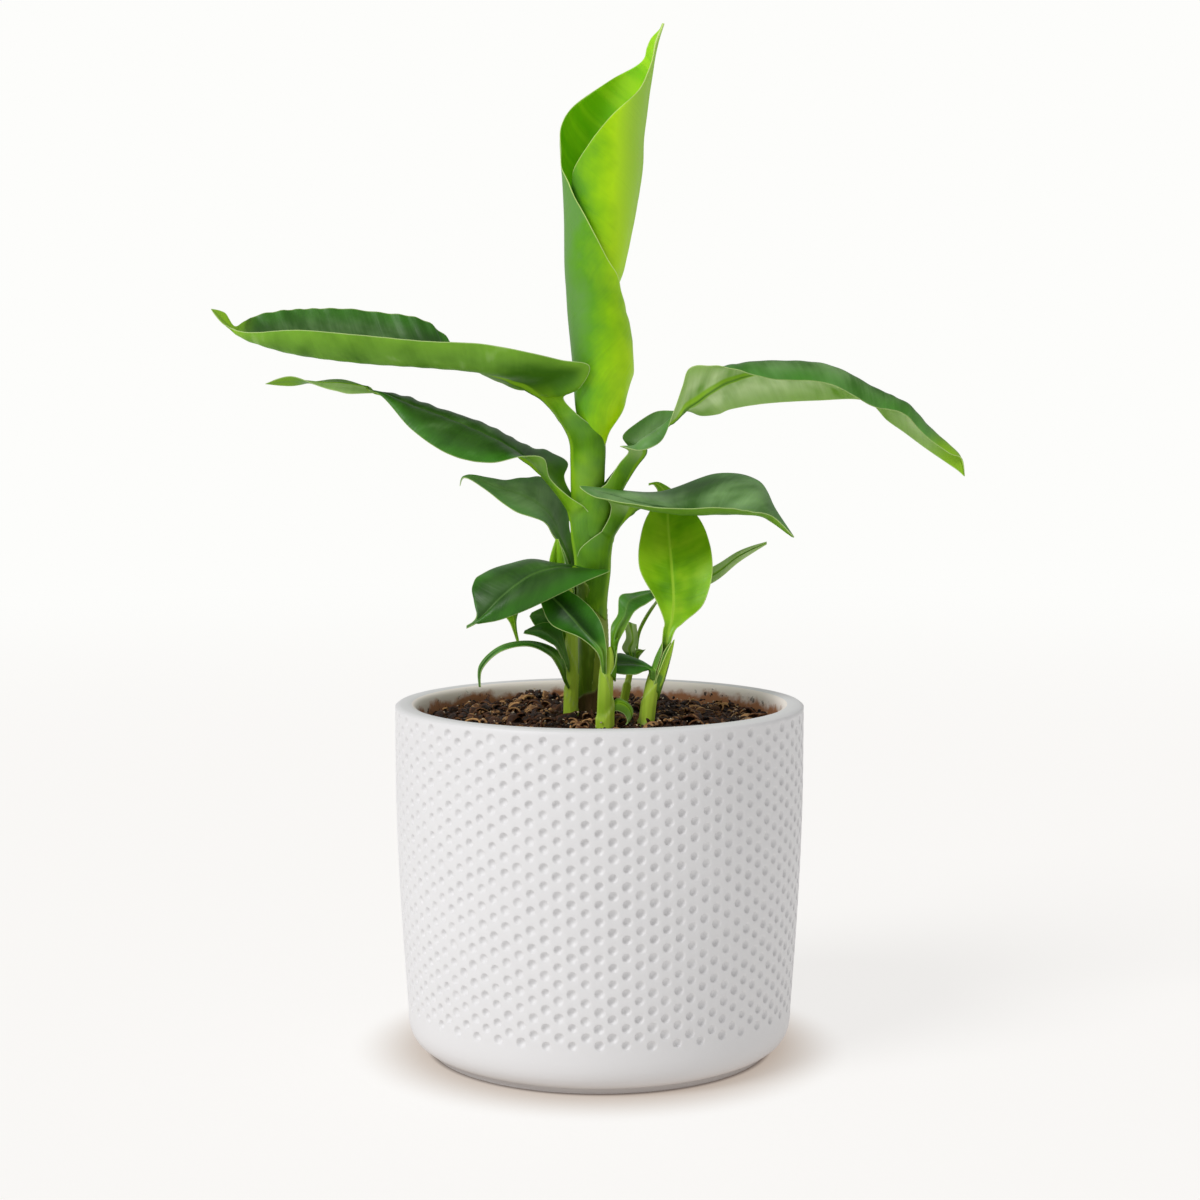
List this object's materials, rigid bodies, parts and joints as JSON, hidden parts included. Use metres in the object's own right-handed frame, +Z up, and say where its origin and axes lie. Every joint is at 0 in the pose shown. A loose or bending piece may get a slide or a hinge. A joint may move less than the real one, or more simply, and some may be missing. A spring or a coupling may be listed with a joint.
{
  "type": "potted banana plant",
  "caption": "Young banana plant with a rolled new leaf, arching green leaves and side shoots, in a white round ceramic pot with dimpled walls.",
  "frame": {"origin": "centre of the pot's flat foot, on the surface it stands on", "axes": "+Z up along the pot's axis, +X to the viewer's right in the front view, +Y to the back"},
  "size_m": [0.2747, 0.1498, 0.3742],
  "materials": {
    "ceramic": "matt white glaze over a pitted wall",
    "soil": "loose dark potting mix with bark chips",
    "old_stem": "satin, olive green, brown at the foot",
    "stem": "satin, light yellow green",
    "leaf": "satin dark green with fine ribs, paler below",
    "young_leaf": "satin yellow green with fine ribs"
  },
  "bodies": {
    "root": {"pot": "ceramic", "soil": "soil", "main_stem": "old_stem", "rolled_leaf": "young_leaf", "upper_left_leaf": "leaf", "middle_left_leaf": "leaf", "low_left_leaf": "leaf", "upper_right_leaf": "leaf", "middle_right_leaf": "leaf", "left_shoot_stem": "stem", "left_shoot_big_leaf": "leaf", "left_shoot_young_leaf": "young_leaf", "left_shoot_hanging_leaf": "young_leaf", "left_shoot_side_leaf": "leaf", "left_shoot_back_leaf": "leaf", "left_shoot_arching_leaf": "leaf", "front_shoot_stem": "stem", "front_shoot_left_leaf": "leaf", "front_shoot_right_leaf": "leaf", "front_shoot_curled_leaf": "leaf", "right_shoot_stem": "stem", "right_shoot_broad_leaf": "young_leaf", "right_shoot_low_leaf": "leaf", "right_shoot_bract": "young_leaf", "small_shoot_stem": "stem", "small_shoot_long_leaf": "leaf", "small_shoot_crumpled_leaf": "leaf", "small_shoot_right_leaf": "leaf"}
  },
  "joints": []
}
